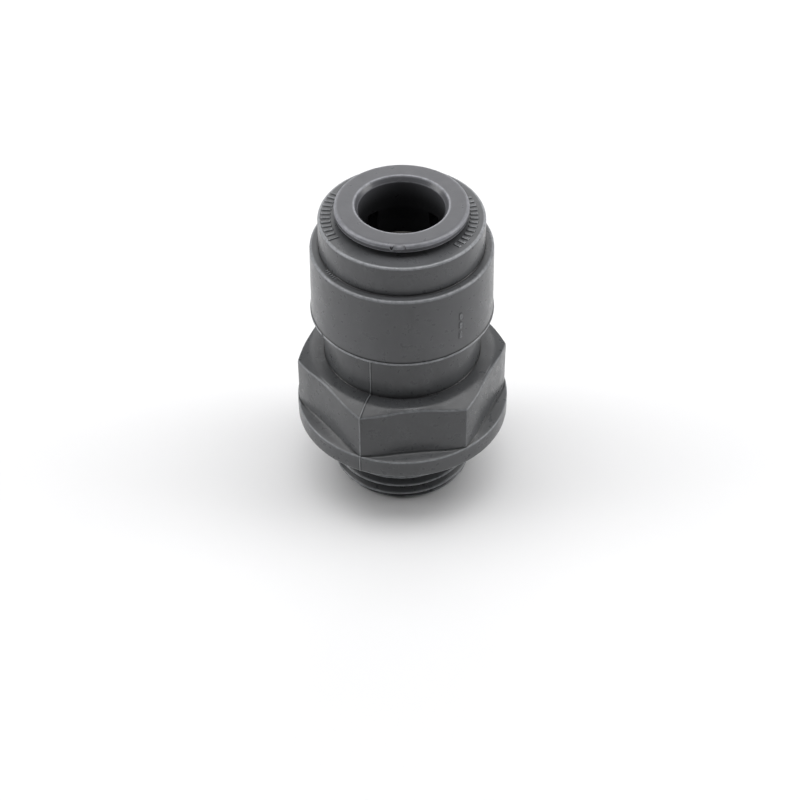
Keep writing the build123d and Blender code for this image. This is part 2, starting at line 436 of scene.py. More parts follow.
@dataclass(frozen=True)
class Span:
    """Outer radius, foot and top of a CAD node, in millimetres."""

    radius: float
    foot: float
    top: float

    @classmethod
    def of(cls, node: str) -> "Span":
        """Measures a CAD node's radius along X and its heights."""
        low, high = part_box(node)
        return cls(radius=high.x / MM, foot=low.z / MM, top=high.z / MM)


@dataclass(frozen=True)
class Corner:
    """A corner of a turned section, how much of it is rounded off, and cuts in the run after it."""

    r: float
    z: float
    rounding: float = 0.0
    cuts: int = 1


@dataclass(frozen=True)
class Zone:
    """A stretch of turn that takes finer columns, in degrees."""

    middle: float
    half: float
    columns: int


def rounded_section(corners: Sequence[Corner], arc_cuts: int = 4) -> list[Point]:
    """Rounds the corners of a closed section.

    Args:
        corners: the section's corners, outside upwards and then inside downwards.
        arc_cuts: straight cuts in each rounding.

    Returns:
        The section's points as radius and height; the count depends only on the corners' form.
    """
    count = len(corners)
    arcs: list[list[Point]] = []
    for i, corner in enumerate(corners):
        if corner.rounding <= 0:
            arcs.append([(corner.r, corner.z)])
            continue
        ends = []
        for other in (corners[i - 1], corners[(i + 1) % count]):
            run = hypot(other.r - corner.r, other.z - corner.z)
            share = min(corner.rounding / run, 0.45) if run > 0 else 0.0
            ends.append(
                (corner.r + share * (other.r - corner.r), corner.z + share * (other.z - corner.z))
            )
        (ar, az), (br, bz) = ends
        arc = []
        # The rounding is a parabola between the two ends, pulled towards the corner.
        for k in range(arc_cuts + 1):
            t = k / arc_cuts
            a, c, b = (1 - t) ** 2, 2 * t * (1 - t), t**2
            arc.append((a * ar + c * corner.r + b * br, a * az + c * corner.z + b * bz))
        arcs.append(arc)
    points: list[Point] = []
    for i, corner in enumerate(corners):
        points += arcs[i]
        (r0, z0), (r1, z1) = arcs[i][-1], arcs[(i + 1) % count][0]
        for k in range(1, corner.cuts):
            t = k / corner.cuts
            points.append((r0 + t * (r1 - r0), z0 + t * (z1 - z0)))
    return points


def columns(step: float, zones: Sequence[Zone] = (), least: float = 0.04) -> list[float]:
    """Turns of a mesh's columns.

    Args:
        step: the usual step in degrees.
        zones: stretches with finer columns.
        least: columns nearer than this are dropped.

    Returns:
        The turns in rising order, from 0 up to 360 degrees.
    """
    fine = [
        (zone.middle + zone.half * (2 * k / (zone.columns - 1) - 1)) % 360
        for zone in zones
        for k in range(zone.columns)
    ]
    kept = sorted(fine)
    for k in range(ceil(360 / step)):
        turn = k * step
        if all(abs((turn - f + 180) % 360 - 180) > 0.6 * step for f in fine):
            kept.append(turn)
    kept.sort()
    spaced = [kept[0]]
    for turn in kept[1:]:
        if turn - spaced[-1] > least:
            spaced.append(turn)
    return spaced


def smooth_step(value: np.ndarray) -> np.ndarray:
    """Eases a value from 0 to 1, clamped outside.

    Args:
        value: the values to ease.

    Returns:
        The eased values.
    """
    t = np.clip(value, 0, 1)
    return t * t * (3 - 2 * t)


def plateau(distance: np.ndarray, half: float, fade: float) -> np.ndarray:
    """A bump that is 1 within a half width and fades to 0 across its border.

    Args:
        distance: distances from the middle.
        half: the half width where the bump is half as high.
        fade: how wide the border is.

    Returns:
        The bump at each distance.
    """
    return smooth_step((half + fade / 2 - np.abs(distance)) / fade)


def turn_gap(turns: np.ndarray, middle: float) -> np.ndarray:
    """Signed difference from a turn.

    Args:
        turns: the turns, in degrees.
        middle: the turn that they are compared with.

    Returns:
        The differences, between -180 and 180 degrees.
    """
    return (turns - middle + 180) % 360 - 180


def read_points(mesh: bpy.types.Mesh) -> np.ndarray:
    """Reads where a mesh's points are.

    Args:
        mesh: the mesh.

    Returns:
        One row of X, Y and Z for each point, in millimetres.
    """
    place = np.zeros(len(mesh.vertices) * 3)
    mesh.vertices.foreach_get("co", place)
    return place.reshape(-1, 3) / MM


def read_normals(mesh: bpy.types.Mesh) -> np.ndarray:
    """Reads which way a mesh's points face.

    Args:
        mesh: the mesh.

    Returns:
        One row of X, Y and Z for each point.
    """
    normal = np.zeros(len(mesh.vertices) * 3)
    mesh.vertex_normals.foreach_get("vector", normal)
    return normal.reshape(-1, 3)


def store_values(mesh: bpy.types.Mesh, name: str, values: np.ndarray) -> None:
    """Stores a value at each point of a mesh, where a material can read it.

    Args:
        mesh: the mesh.
        name: the attribute's name.
        values: one value for each point.
    """
    stored = mesh.attributes.new(name, "FLOAT", "POINT")
    stored.data.foreach_set("value", values.astype(np.float32))


class TurnedMesh:
    """A closed mesh about Z, whose section may change with the turn."""

    def __init__(
        self, name: str, turns: Sequence[float], section: Callable[[float], list[Point]]
    ) -> None:
        """Sets the section up round the axis.

        Args:
            name: the piece's name.
            turns: the columns' turns in degrees, rising.
            section: gives the closed section at a turn, always with as many points.
        """
        self.name = name
        grid = np.array([section(turn) for turn in turns])
        angles = np.radians(np.array(turns))[:, None]
        radii, heights = grid[:, :, 0], grid[:, :, 1]
        points = np.stack([radii * np.cos(angles), radii * np.sin(angles), heights], axis=2)
        across, along = grid.shape[:2]
        faces = []
        for j in range(across):
            here, there = j * along, (j + 1) % across * along
            for i in range(along):
                up = (i + 1) % along
                faces.append((here + i, there + i, there + up, here + up))
        self.mesh = bpy.data.meshes.new(name)
        self.mesh.from_pydata((points.reshape(-1, 3) * MM).tolist(), [], faces)
        weld(self.mesh)

    def relief(self, marks: Relief) -> None:
        """Raises or sinks the surface along its own normals.

        Args:
            marks: gives heights in millimetres from radii, turns in degrees and heights.
        """
        place = read_points(self.mesh)
        radii = np.hypot(place[:, 0], place[:, 1])
        turns = np.degrees(np.arctan2(place[:, 1], place[:, 0])) % 360
        rise = marks(radii, turns, place[:, 2])
        place += read_normals(self.mesh) * rise[:, None]
        self.mesh.vertices.foreach_set("co", (place * MM).ravel())
        self.mesh.update()

    def piece(self) -> bpy.types.Object:
        """Puts the mesh into the scene as an object."""
        return place_mesh(self.name, self.mesh)


def weld(mesh: bpy.types.Mesh, reach: float = 2e-4) -> None:
    """Merges points that fall together and drops faces with no area.

    Args:
        mesh: the mesh to clean.
        reach: points nearer than this are merged, in millimetres.
    """
    work = bmesh.new()
    work.from_mesh(mesh)
    bmesh.ops.remove_doubles(work, verts=work.verts, dist=reach * MM)
    bmesh.ops.dissolve_degenerate(work, edges=work.edges, dist=reach * MM)
    work.to_mesh(mesh)
    work.free()
    mesh.update()


def place_mesh(name: str, mesh: bpy.types.Mesh) -> bpy.types.Object:
    """Makes an object of a mesh.

    Args:
        name: the object's name.
        mesh: its mesh.

    Returns:
        The object, linked into the scene.
    """
    made = bpy.data.objects.new(name, mesh)
    bpy.context.scene.collection.objects.link(made)
    return made


def mark_edges(mesh: bpy.types.Mesh, mild: float, strong: float) -> None:
    """Stores how sharply each point bends out and in, for the painted edge highlights and the
    steel's sheared edges, and for the painted crevice shade.

    Args:
        mesh: the mesh, final.
        mild: the bend where either starts, per millimetre.
        strong: the bend where it is full, per millimetre.
    """
    place, normal = read_points(mesh), read_normals(mesh)
    ends = np.zeros(len(mesh.edges) * 2, dtype=np.int32)
    mesh.edges.foreach_get("vertices", ends)
    first, second = ends.reshape(-1, 2).T
    apart = place[first] - place[second]
    squared = np.maximum((apart**2).sum(1), 1e-8)
    first_bend = 2 * (normal[first] * apart).sum(1) / squared
    second_bend = -2 * (normal[second] * apart).sum(1) / squared
    # Outward bends feed the painted edge highlight and the steel's sheared edges; inward bends feed
    # the painted crevice shade.
    for name, sign in (("edge_highlight_and_shear", 1), ("painted_crevice_shade", -1)):
        most = np.full(len(place), -np.inf)
        np.maximum.at(most, first, sign * first_bend)
        np.maximum.at(most, second, sign * second_bend)
        store_values(mesh, name, smooth_step((most - mild) / (strong - mild)))


def mark_depth(mesh: bpy.types.Mesh, radius: float, mouth_z: float, reach: float) -> None:
    """Stores how deep in the bore each point lies, where the moulding looks darker.

    Args:
        mesh: the mesh, final.
        radius: points nearer the axis than this are in the bore, in millimetres.
        mouth_z: the height where the shade starts.
        reach: the depth where it is full.
    """
    place = read_points(mesh)
    deep = smooth_step((mouth_z - place[:, 2]) / reach)
    deep[np.hypot(place[:, 0], place[:, 1]) > radius] = 0
    store_values(mesh, "depth_shade", deep)


def dress(
    piece: bpy.types.Object, finish: Finish, carrier: Carrier, node: str, crease: float = 38.0
) -> bpy.types.Object:
    """Gives a piece its smoothing and finish, puts it on its body and hides the CAD node that it
    stands for.

    Args:
        piece: the finished piece.
        finish: its finish.
        carrier: the body that it rides on.
        node: the CAD node that it stands for.
        crease: faces that meet at more than this many degrees keep a crisp edge.

    Returns:
        The same piece.
    """
    mesh = piece.data
    mesh.polygons.foreach_set("use_smooth", [True] * len(mesh.polygons))
    mesh.set_sharp_from_angle(angle=radians(crease))
    mark_edges(mesh, mild=1.2, strong=4.0)
    found = bpy.data.materials.get(finish.name)
    mesh.materials.append(found or finish.material())
    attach(piece, carrier.value)
    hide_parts(node)
    return piece


def cut_away(piece: bpy.types.Object, cutter: bpy.types.Object) -> None:
    """Takes a cutter's solid out of a piece, and the cutter out of the scene.

    Args:
        piece: the piece that is cut.
        cutter: a closed mesh.
    """
    boolean = piece.modifiers.new("cut", "BOOLEAN")
    boolean.operation = "DIFFERENCE"
    boolean.solver = "EXACT"
    boolean.object = cutter
    evaluated = piece.evaluated_get(bpy.context.evaluated_depsgraph_get())
    cut = bpy.data.meshes.new_from_object(evaluated)
    piece.modifiers.clear()
    piece.data = cut
    bpy.data.objects.remove(cutter)
    weld(cut, reach=0.002)


def arc_solid(outline: Sequence[Point], middle: float, arc: float, steps: int) -> bpy.types.Mesh:
    """A closed solid with a section swept through an arc about Z.

    Args:
        outline: the section's corners as radius and height, in order.
        middle: the turn of the arc's middle, in degrees.
        arc: the arc's length in degrees.
        steps: straight steps along it.

    Returns:
        The mesh.
    """
    work = bmesh.new()
    rings = []
    for k in range(steps + 1):
        angle = radians(middle + arc * (k / steps - 0.5))
        rings.append(
            [work.verts.new((r * cos(angle) * MM, r * sin(angle) * MM, z * MM)) for r, z in outline]
        )
    count = len(outline)
    for low, high in zip(rings, rings[1:]):
        for i in range(count):
            up = (i + 1) % count
            work.faces.new((low[i], high[i], high[up], low[up]))
    work.faces.new(rings[0])
    work.faces.new(list(reversed(rings[-1])))
    bmesh.ops.recalc_face_normals(work, faces=work.faces)
    mesh = bpy.data.meshes.new("arc_solid")
    work.to_mesh(mesh)
    work.free()
    return mesh


# ------------------------------------------------------------------ body


@dataclass
class BodyMoulding:
    """Thread, flange, hexagon and barrel in one moulding, with the split line of its mould."""

    finish: MouldedPlastic
    barrel: Span = field(default_factory=lambda: Span.of("body"))
    seal: Span = field(default_factory=lambda: Span.of("thread_seal"))
    washer: Span = field(default_factory=lambda: Span.of("backup_washer"))
    spacer: Span = field(default_factory=lambda: Span.of("seal_spacer"))
    lower_seal: Span = field(default_factory=lambda: Span.of("tube_seal_lower"))
    cap: Span = field(default_factory=lambda: Span.of("cap"))
    barrel_wall: float = 0.95
    stack_clearance: float = 0.1
    seal_slack: float = 0.03
    guide_length: float = 3.0
    flow_r: float = 3.5
    flow_chamfer: float = 0.25
    thread_r: float = 8.331
    thread_pitch: float = 25.4 / 19
    thread_slope: float = 27.5
    thread_depth_share: float = 0.640327
    thread_start_turns: float = 0.675
    thread_rows: int = 104
    thread_squareness: float = 5.0
    thread_soft: float = 0.07
    run_out_slope: float = 2.0
    lead_chamfer: float = 0.9
    relief_undercut: float = 0.125
    relief_length: float = 2.0
    recess_depth: float = 1.2
    recess_clearance: float = 0.12
    flange_rim: float = 2.25
    flange_height: float = 2.65
    rim_soft_least: float = 0.004
    rim_soft_most: float = 0.16
    barrel_exposed: float = 6.2
    hex_height: float = 6.6
    flat_r: float = 11.0
    corner_r: float = 12.3
    hex_turn: float = 6.5
    crown_start: float = 3.3
    crown_power: float = 1.5
    crown_passes: int = 6
    ridge_soft: float = 0.45
    chamfer_angle: float = 30.0
    chamfer_inset: float = 0.55
    split_turn: float = 246.5
    split_height: float = 0.05
    split_width: float = 0.11
    split_margin: float = 0.03

    def __post_init__(self) -> None:
        """Works the moulding's other radii and heights out from the frame."""
        self.flange_r = self.barrel.radius
        self.hex_top_z = self.cap.foot - self.barrel_exposed
        self.hex_foot_z = self.hex_top_z - self.hex_height
        self.flange_z = self.hex_foot_z - self.flange_height
        self.rim_z = self.flange_z + self.flange_rim
        self.relief_z = self.flange_z - self.relief_length
        self.thread_depth = self.thread_depth_share * self.thread_pitch
        self.relief_r = self.thread_r - self.thread_depth - self.relief_undercut
        self.recess_r = self.seal.radius + self.recess_clearance
        self.seat_r = self.washer.radius + self.stack_clearance
        self.barrel_r = self.seat_r + self.barrel_wall
        self.chamber_r = self.spacer.radius + self.stack_clearance
        self.chamber_z = self.lower_seal.foot - self.seal_slack
        self.stop_z = self.chamber_z - self.guide_length
        self.chamfer_r = self.flat_r - self.chamfer_inset

    def hexagon_r(self, turn: float) -> float:
        """Distance from the axis to the hexagon's side, crowned towards its soft ridges.

        Args:
            turn: where, in degrees.

        Returns:
            The distance in millimetres.
        """
        from_corner = 30 - abs((turn - self.hex_turn) % 60 - 30)
        aside = radians(30 - hypot(from_corner, self.ridge_soft))
        drop = self.flat_r - self.corner_r * cos(radians(30))
        end = self.corner_r * sin(radians(30))
        out = self.flat_r
        # The crown depends on how far out the side already is, so it settles over a few passes.
        for _ in range(self.crown_passes):
            share = max(0.0, (out * tan(aside) - self.crown_start) / (end - self.crown_start))
            out = self.flat_r - drop * share**self.crown_power
        return out / cos(aside)

    def thread_at(self, turn: float, z: float) -> float:
        """Radius of the threaded shank, with rounded crests, a lead chamfer and its run-out.

        Args:
            turn: where, in degrees.
            z: at what height.

        Returns:
            The radius in millimetres.
        """
        turns = z / self.thread_pitch + self.thread_start_turns - turn / 360
        from_crest = abs((turns + 0.5) % 1 - 0.5) * self.thread_pitch
        rise = (self.thread_pitch / 4 - from_crest) / tan(radians(self.thread_slope))
        half = self.thread_depth / 2
        # The flank runs on straight past crest and root, and is eased back to half the depth.
        power = self.thread_squareness
        eased = rise / (1 + abs(rise / half) ** power) ** (1 / power)
        crest = self.thread_r - half + eased
        lead = self.thread_r - self.lead_chamfer + z
        run_out = self.relief_r + self.run_out_slope * (self.relief_z - z)
        # The least of the three radii, with the places where they cross rounded over.
        lowest = min(crest, lead, run_out)
        total = sum(10 ** (-(r - lowest) / self.thread_soft) for r in (crest, lead, run_out))
        return lowest - self.thread_soft * np.log10(total)

    def section(self, turn: float) -> list[Point]:
        """The moulding's section at a turn.

        Args:
            turn: where, in degrees.

        Returns:
            Its points, outside upwards and then inside downwards.
        """
        flat = self.hexagon_r(turn)
        slope = (self.hex_foot_z - self.rim_z) / (self.flange_r - self.flat_r)
        foot_z = self.rim_z + slope * (self.flange_r - flat)
        edge_z = self.hex_top_z - (flat - self.chamfer_r) * tan(radians(self.chamfer_angle))
        rim_soft = max(self.rim_soft_least, min(self.rim_soft_most, (self.flange_r - flat) / 2))
        bead_z = self.cap.foot + SHARED.bead_rise
        bead_top_z = bead_z + SHARED.bead_height
        recess_z = self.flange_z + self.recess_depth
        thread = []
        for k in range(self.thread_rows + 1):
            z = self.relief_z * k / self.thread_rows
            thread.append(Corner(self.thread_at(turn, z), z))
        corners = [
            Corner(self.flow_r + self.flow_chamfer, 0, cuts=3),
            *thread,
            Corner(self.relief_r, recess_z, 0.05, 2),
            Corner(self.recess_r, recess_z, 0.05, 2),
            Corner(self.recess_r, self.flange_z, 0.08, 4),
            Corner(self.flange_r, self.flange_z, 0.2, 4),
            Corner(self.flange_r, self.rim_z, rim_soft, 3),
            Corner(flat, foot_z, 0.32, 10),
            Corner(flat, edge_z, 0.2, 4),
            Corner(self.chamfer_r, self.hex_top_z, 0.6, 5),
            Corner(self.barrel_r, self.hex_top_z, 0.12, 16),
            Corner(self.barrel_r, bead_z),
            Corner(self.barrel_r + SHARED.bead_height, bead_top_z),
            Corner(self.barrel_r, bead_top_z + SHARED.bead_lead, 0, 2),
            Corner(self.barrel_r, self.barrel.top, 0.06),
            Corner(self.seat_r, self.barrel.top, 0.06),
            Corner(self.seat_r, self.washer.foot),
            Corner(self.chamber_r, self.washer.foot, 0.08, 4),
            Corner(self.chamber_r, self.chamber_z, 0.1, 3),
            Corner(SHARED.socket_r, self.chamber_z, 0.15, 3),
            Corner(SHARED.socket_r, self.stop_z, 0.06, 2),
            Corner(self.flow_r, self.stop_z, 0.12, 12),
            Corner(self.flow_r, self.flow_chamfer),
        ]
        return rounded_section(corners)

    def split_line(self, radii: np.ndarray, turns: np.ndarray, heights: np.ndarray) -> np.ndarray:
        """Height of the thin raised line that the two mould halves leave on the outside.

        Args:
            radii: the points' radii.
            turns: the points' turns.
            heights: the points' heights.

        Returns:
            How far each point is raised, in millimetres.
        """
        outside = (radii > self.seat_r) & (heights > self.flange_z + self.split_margin)
        rise = np.zeros_like(radii)
        for turn in (self.split_turn, self.split_turn + 180):
            aside = radii * np.radians(turn_gap(turns, turn))
            rise += np.exp(-((aside / self.split_width) ** 2))
        covered = (radii < self.barrel_r + 0.3) & (heights > self.cap.foot - 0.2)
        return np.where(outside & ~covered, self.split_height * rise, 0.0)

    def build(self) -> list[bpy.types.Object]:
        """Makes and dresses the moulding.

        Returns:
            The finished pieces.
        """
        splits = [Zone(self.split_turn + k * 180, half=1.4, columns=25) for k in range(2)]
        ridges = [Zone(self.hex_turn + k * 60, half=8.0, columns=33) for k in range(6)]
        turned = TurnedMesh("body_moulding", columns(COLUMN_STEP, splits + ridges), self.section)
        turned.relief(self.split_line)
        return [dress(turned.piece(), self.finish, Carrier.FITTING, "body")]


# ------------------------------------------------------------------ cap


@dataclass(frozen=True)
class TickArc:
    """A row of radial ticks: first turn, step, count, gap to the ring's radius and length."""

    start: float
    step: float
    count: int
    gap: float
    length: float

    def turns(self) -> list[float]:
        """Turns of the ticks, in degrees."""
        return [(self.start + self.step * k) % 360 for k in range(self.count)]


@dataclass
class CapMoulding:
    """The band over the barrel and the collar above it, with ticks, bars and moulding marks."""

    finish: MouldedPlastic
    outer: Span = field(default_factory=lambda: Span.of("cap"))
    barrel: Span = field(default_factory=lambda: Span.of("body"))
    washer: Span = field(default_factory=lambda: Span.of("backup_washer"))
    collet: Span = field(default_factory=lambda: Span.of("release_collet"))
    lip_proud: float = 0.12
    lip_height: float = 0.35
    band_height: float = 8.95
    band_wall: float = 1.3
    band_draft: float = 0.13
    collar_wall: float = 1.7
    washer_hold: float = 0.45
    cap_clearance: float = 0.03
    tick_width: float = 0.3
    left_ticks: TickArc = TickArc(start=151.5, step=5.1, count=11, gap=0.45, length=1.0)
    right_ticks: TickArc = TickArc(start=318.8, step=5.35, count=13, gap=0.12, length=0.85)
    line_turn: float = 208.5
    line_width: float = 0.12
    line_margin: float = 0.35
    bar_turn: float = 308.0
    bar_rise: float = 3.85
    bar_step: float = 1.3
    bar_count: int = 3
    bar_size: tuple[float, float] = (0.35, 0.75)
    flash_turn: float = 215.0
    flash_half: float = 5.0
    flash_ripple: float = 170.0
    flash_gap: float = 0.2
    flash_width: float = 0.24
    flash_height: float = 0.07
    nick_turn: float = 211.4
    nick_width: float = 0.4

    def __post_init__(self) -> None:
        """Works the cap's other radii and heights out from the frame."""
        self.top_z = self.outer.top - SHARED.mark_height
        self.lip_r = self.outer.radius
        self.band_r = self.lip_r - self.lip_proud
        self.band_z = self.outer.foot + self.band_height
        self.bore_r = self.band_r - self.band_wall
        self.cavity_r = self.washer.radius - self.washer_hold
        self.collar_r = self.cavity_r + self.collar_wall
        self.neck_hole_r = SHARED.neck_r + SHARED.neck_clearance
        self.cam_top_z = self.top_z - SHARED.neck_hole_length
        self.cam_foot_z = self.cam_top_z - (self.cavity_r - self.neck_hole_r) / SHARED.cam_slope
        self.face_mid_r = (self.collet.radius + self.collar_r) / 2

    def band_at(self, z: float) -> float:
        """Radius of the drafted band at a height."""
        return self.band_r - self.band_draft * (z - self.outer.foot) / self.band_height

    def section(self, _turn: float) -> list[Point]:
        """The cap's section.

        Args:
            _turn: where, in degrees; the section is the same at every turn.

        Returns:
            Its points, outside upwards and then inside downwards.
        """
        bead_z = self.outer.foot + SHARED.bead_rise
        bead_top_z = bead_z + SHARED.bead_height
        corners = [
            Corner(self.bore_r, self.outer.foot, 0.04, 3),
            Corner(self.lip_r, self.outer.foot, 0.12, 2),
            Corner(self.lip_r, self.outer.foot + self.lip_height - self.lip_proud, 0.12),
            Corner(self.band_r, self.outer.foot + self.lip_height, 0.08, 46),
            Corner(self.band_at(self.band_z), self.band_z, 0.34, 3),
            Corner(self.collar_r, self.band_z, 0.1, 12),
            Corner(self.collar_r, self.top_z, 0.28, 32),
            Corner(self.collet.radius, self.top_z, 0, 4),
            Corner(self.neck_hole_r, self.top_z, 0.08, 4),
            Corner(self.neck_hole_r, self.cam_top_z, 0.05, 6),
            Corner(self.cavity_r, self.cam_foot_z, 0.1, 5),
            Corner(self.cavity_r, self.barrel.top, 0.05, 2),
            Corner(self.bore_r, self.barrel.top, 0, 2),
            Corner(self.bore_r, bead_top_z + SHARED.bead_lead + self.cap_clearance),
            Corner(self.bore_r + SHARED.bead_height, bead_top_z),
            Corner(self.bore_r, bead_z - self.cap_clearance, 0, 2),
        ]
        return rounded_section(corners)

    def face_marks(self, radii: np.ndarray, turns: np.ndarray, heights: np.ndarray) -> np.ndarray:
        """Heights of the ticks and the line on the cap's top face.

        Args:
            radii: the points' radii.
            turns: the points' turns.
            heights: the points' heights.

        Returns:
            How far each point is raised, in millimetres.
        """
        rise = np.zeros_like(radii)
        for arc in (self.left_ticks, self.right_ticks):
            middle = self.collet.radius + arc.gap + arc.length / 2
            along = plateau(radii - middle, arc.length / 2, fade=0.1)
            for turn in arc.turns():
                aside = middle * np.radians(turn_gap(turns, turn))
                tick = plateau(aside, self.tick_width / 2, fade=0.09) * along
                rise = np.maximum(rise, SHARED.mark_height * tick)
        line_half = (self.collar_r - self.collet.radius) / 2 - self.line_margin
        aside = radii * np.radians(turn_gap(turns, self.line_turn))
        along = plateau(radii - self.face_mid_r, line_half, fade=0.12)
        line = plateau(aside, self.line_width / 2, fade=0.06) * along
        rise = np.maximum(rise, SHARED.mark_height * line)
        face = (heights > self.top_z - 0.01) & (radii > self.neck_hole_r + 0.2)
        return np.where(face, rise, 0.0)

    def band_marks(self, radii: np.ndarray, turns: np.ndarray, heights: np.ndarray) -> np.ndarray:
        """Heights of the plain bars on the band.

        Args:
            radii: the points' radii.
            turns: the points' turns.
            heights: the points' heights.

        Returns:
            How far each point is raised, in millimetres.
        """
        width, length = self.bar_size
        rise = np.zeros_like(radii)
        aside = self.band_r * np.radians(turn_gap(turns, self.bar_turn))
        across = plateau(aside, width / 2, fade=0.1)
        for k in range(self.bar_count):
            bar_z = self.outer.foot + self.bar_rise + self.bar_step * (k - (self.bar_count - 1) / 2)
            bar = across * plateau(heights - bar_z, length / 2, fade=0.12)
            rise = np.maximum(rise, SHARED.mark_height * bar)
        band = np.abs(radii - self.band_at(heights)) < 0.02
        return np.where(band, rise, 0.0)

    def mould_marks(self, radii: np.ndarray, turns: np.ndarray, heights: np.ndarray) -> np.ndarray:
        """Heights of the flash on the band's shoulder and of the nick in its lip.

        Args:
            radii: the points' radii.
            turns: the points' turns.
            heights: the points' heights.

        Returns:
            How far each point is raised, in millimetres.
        """
        rough = 0.5 + 0.5 * np.sin(np.radians(turns * self.flash_ripple))
        along = plateau(turn_gap(turns, self.flash_turn), self.flash_half, fade=2.0)
        across = plateau(radii - self.collar_r - self.flash_gap, self.flash_width / 2, fade=0.1)
        shoulder = np.abs(heights - self.band_z) < 0.05
        flash = np.where(shoulder, self.flash_height * rough * along * across, 0.0)
        aside = self.lip_r * np.radians(turn_gap(turns, self.nick_turn))
        lip = (radii > self.band_r - 0.1) & (heights < self.outer.foot + self.lip_height)
        nick = plateau(aside, self.nick_width / 2, fade=0.2)
        return np.where(lip, -self.lip_proud * nick, flash)

    def marks(self, radii: np.ndarray, turns: np.ndarray, heights: np.ndarray) -> np.ndarray:
        """Heights of all that stands on the cap's surface or is sunk into it, in millimetres."""
        parts = (self.face_marks, self.band_marks, self.mould_marks)
        return sum(part(radii, turns, heights) for part in parts)

    def build(self) -> list[bpy.types.Object]:
        """Makes and dresses the cap.

        Returns:
            The finished pieces.
        """
        tick_half = degrees((self.tick_width / 2 + 0.05) / self.face_mid_r)
        turns = self.left_ticks.turns() + self.right_ticks.turns()
        zones = [Zone(turn, half=tick_half, columns=8) for turn in turns]
        zones.append(Zone(self.line_turn, half=1.0, columns=13))
        zones.append(Zone(self.bar_turn, half=1.6, columns=17))
        zones.append(Zone(self.flash_turn, half=self.flash_half + 1.2, columns=51))
        turned = TurnedMesh("cap_moulding", columns(COLUMN_STEP, zones), self.section)
        turned.relief(self.marks)
        return [dress(turned.piece(), self.finish, Carrier.FITTING, "cap")]


# ------------------------------------------------------------------ collet and teeth


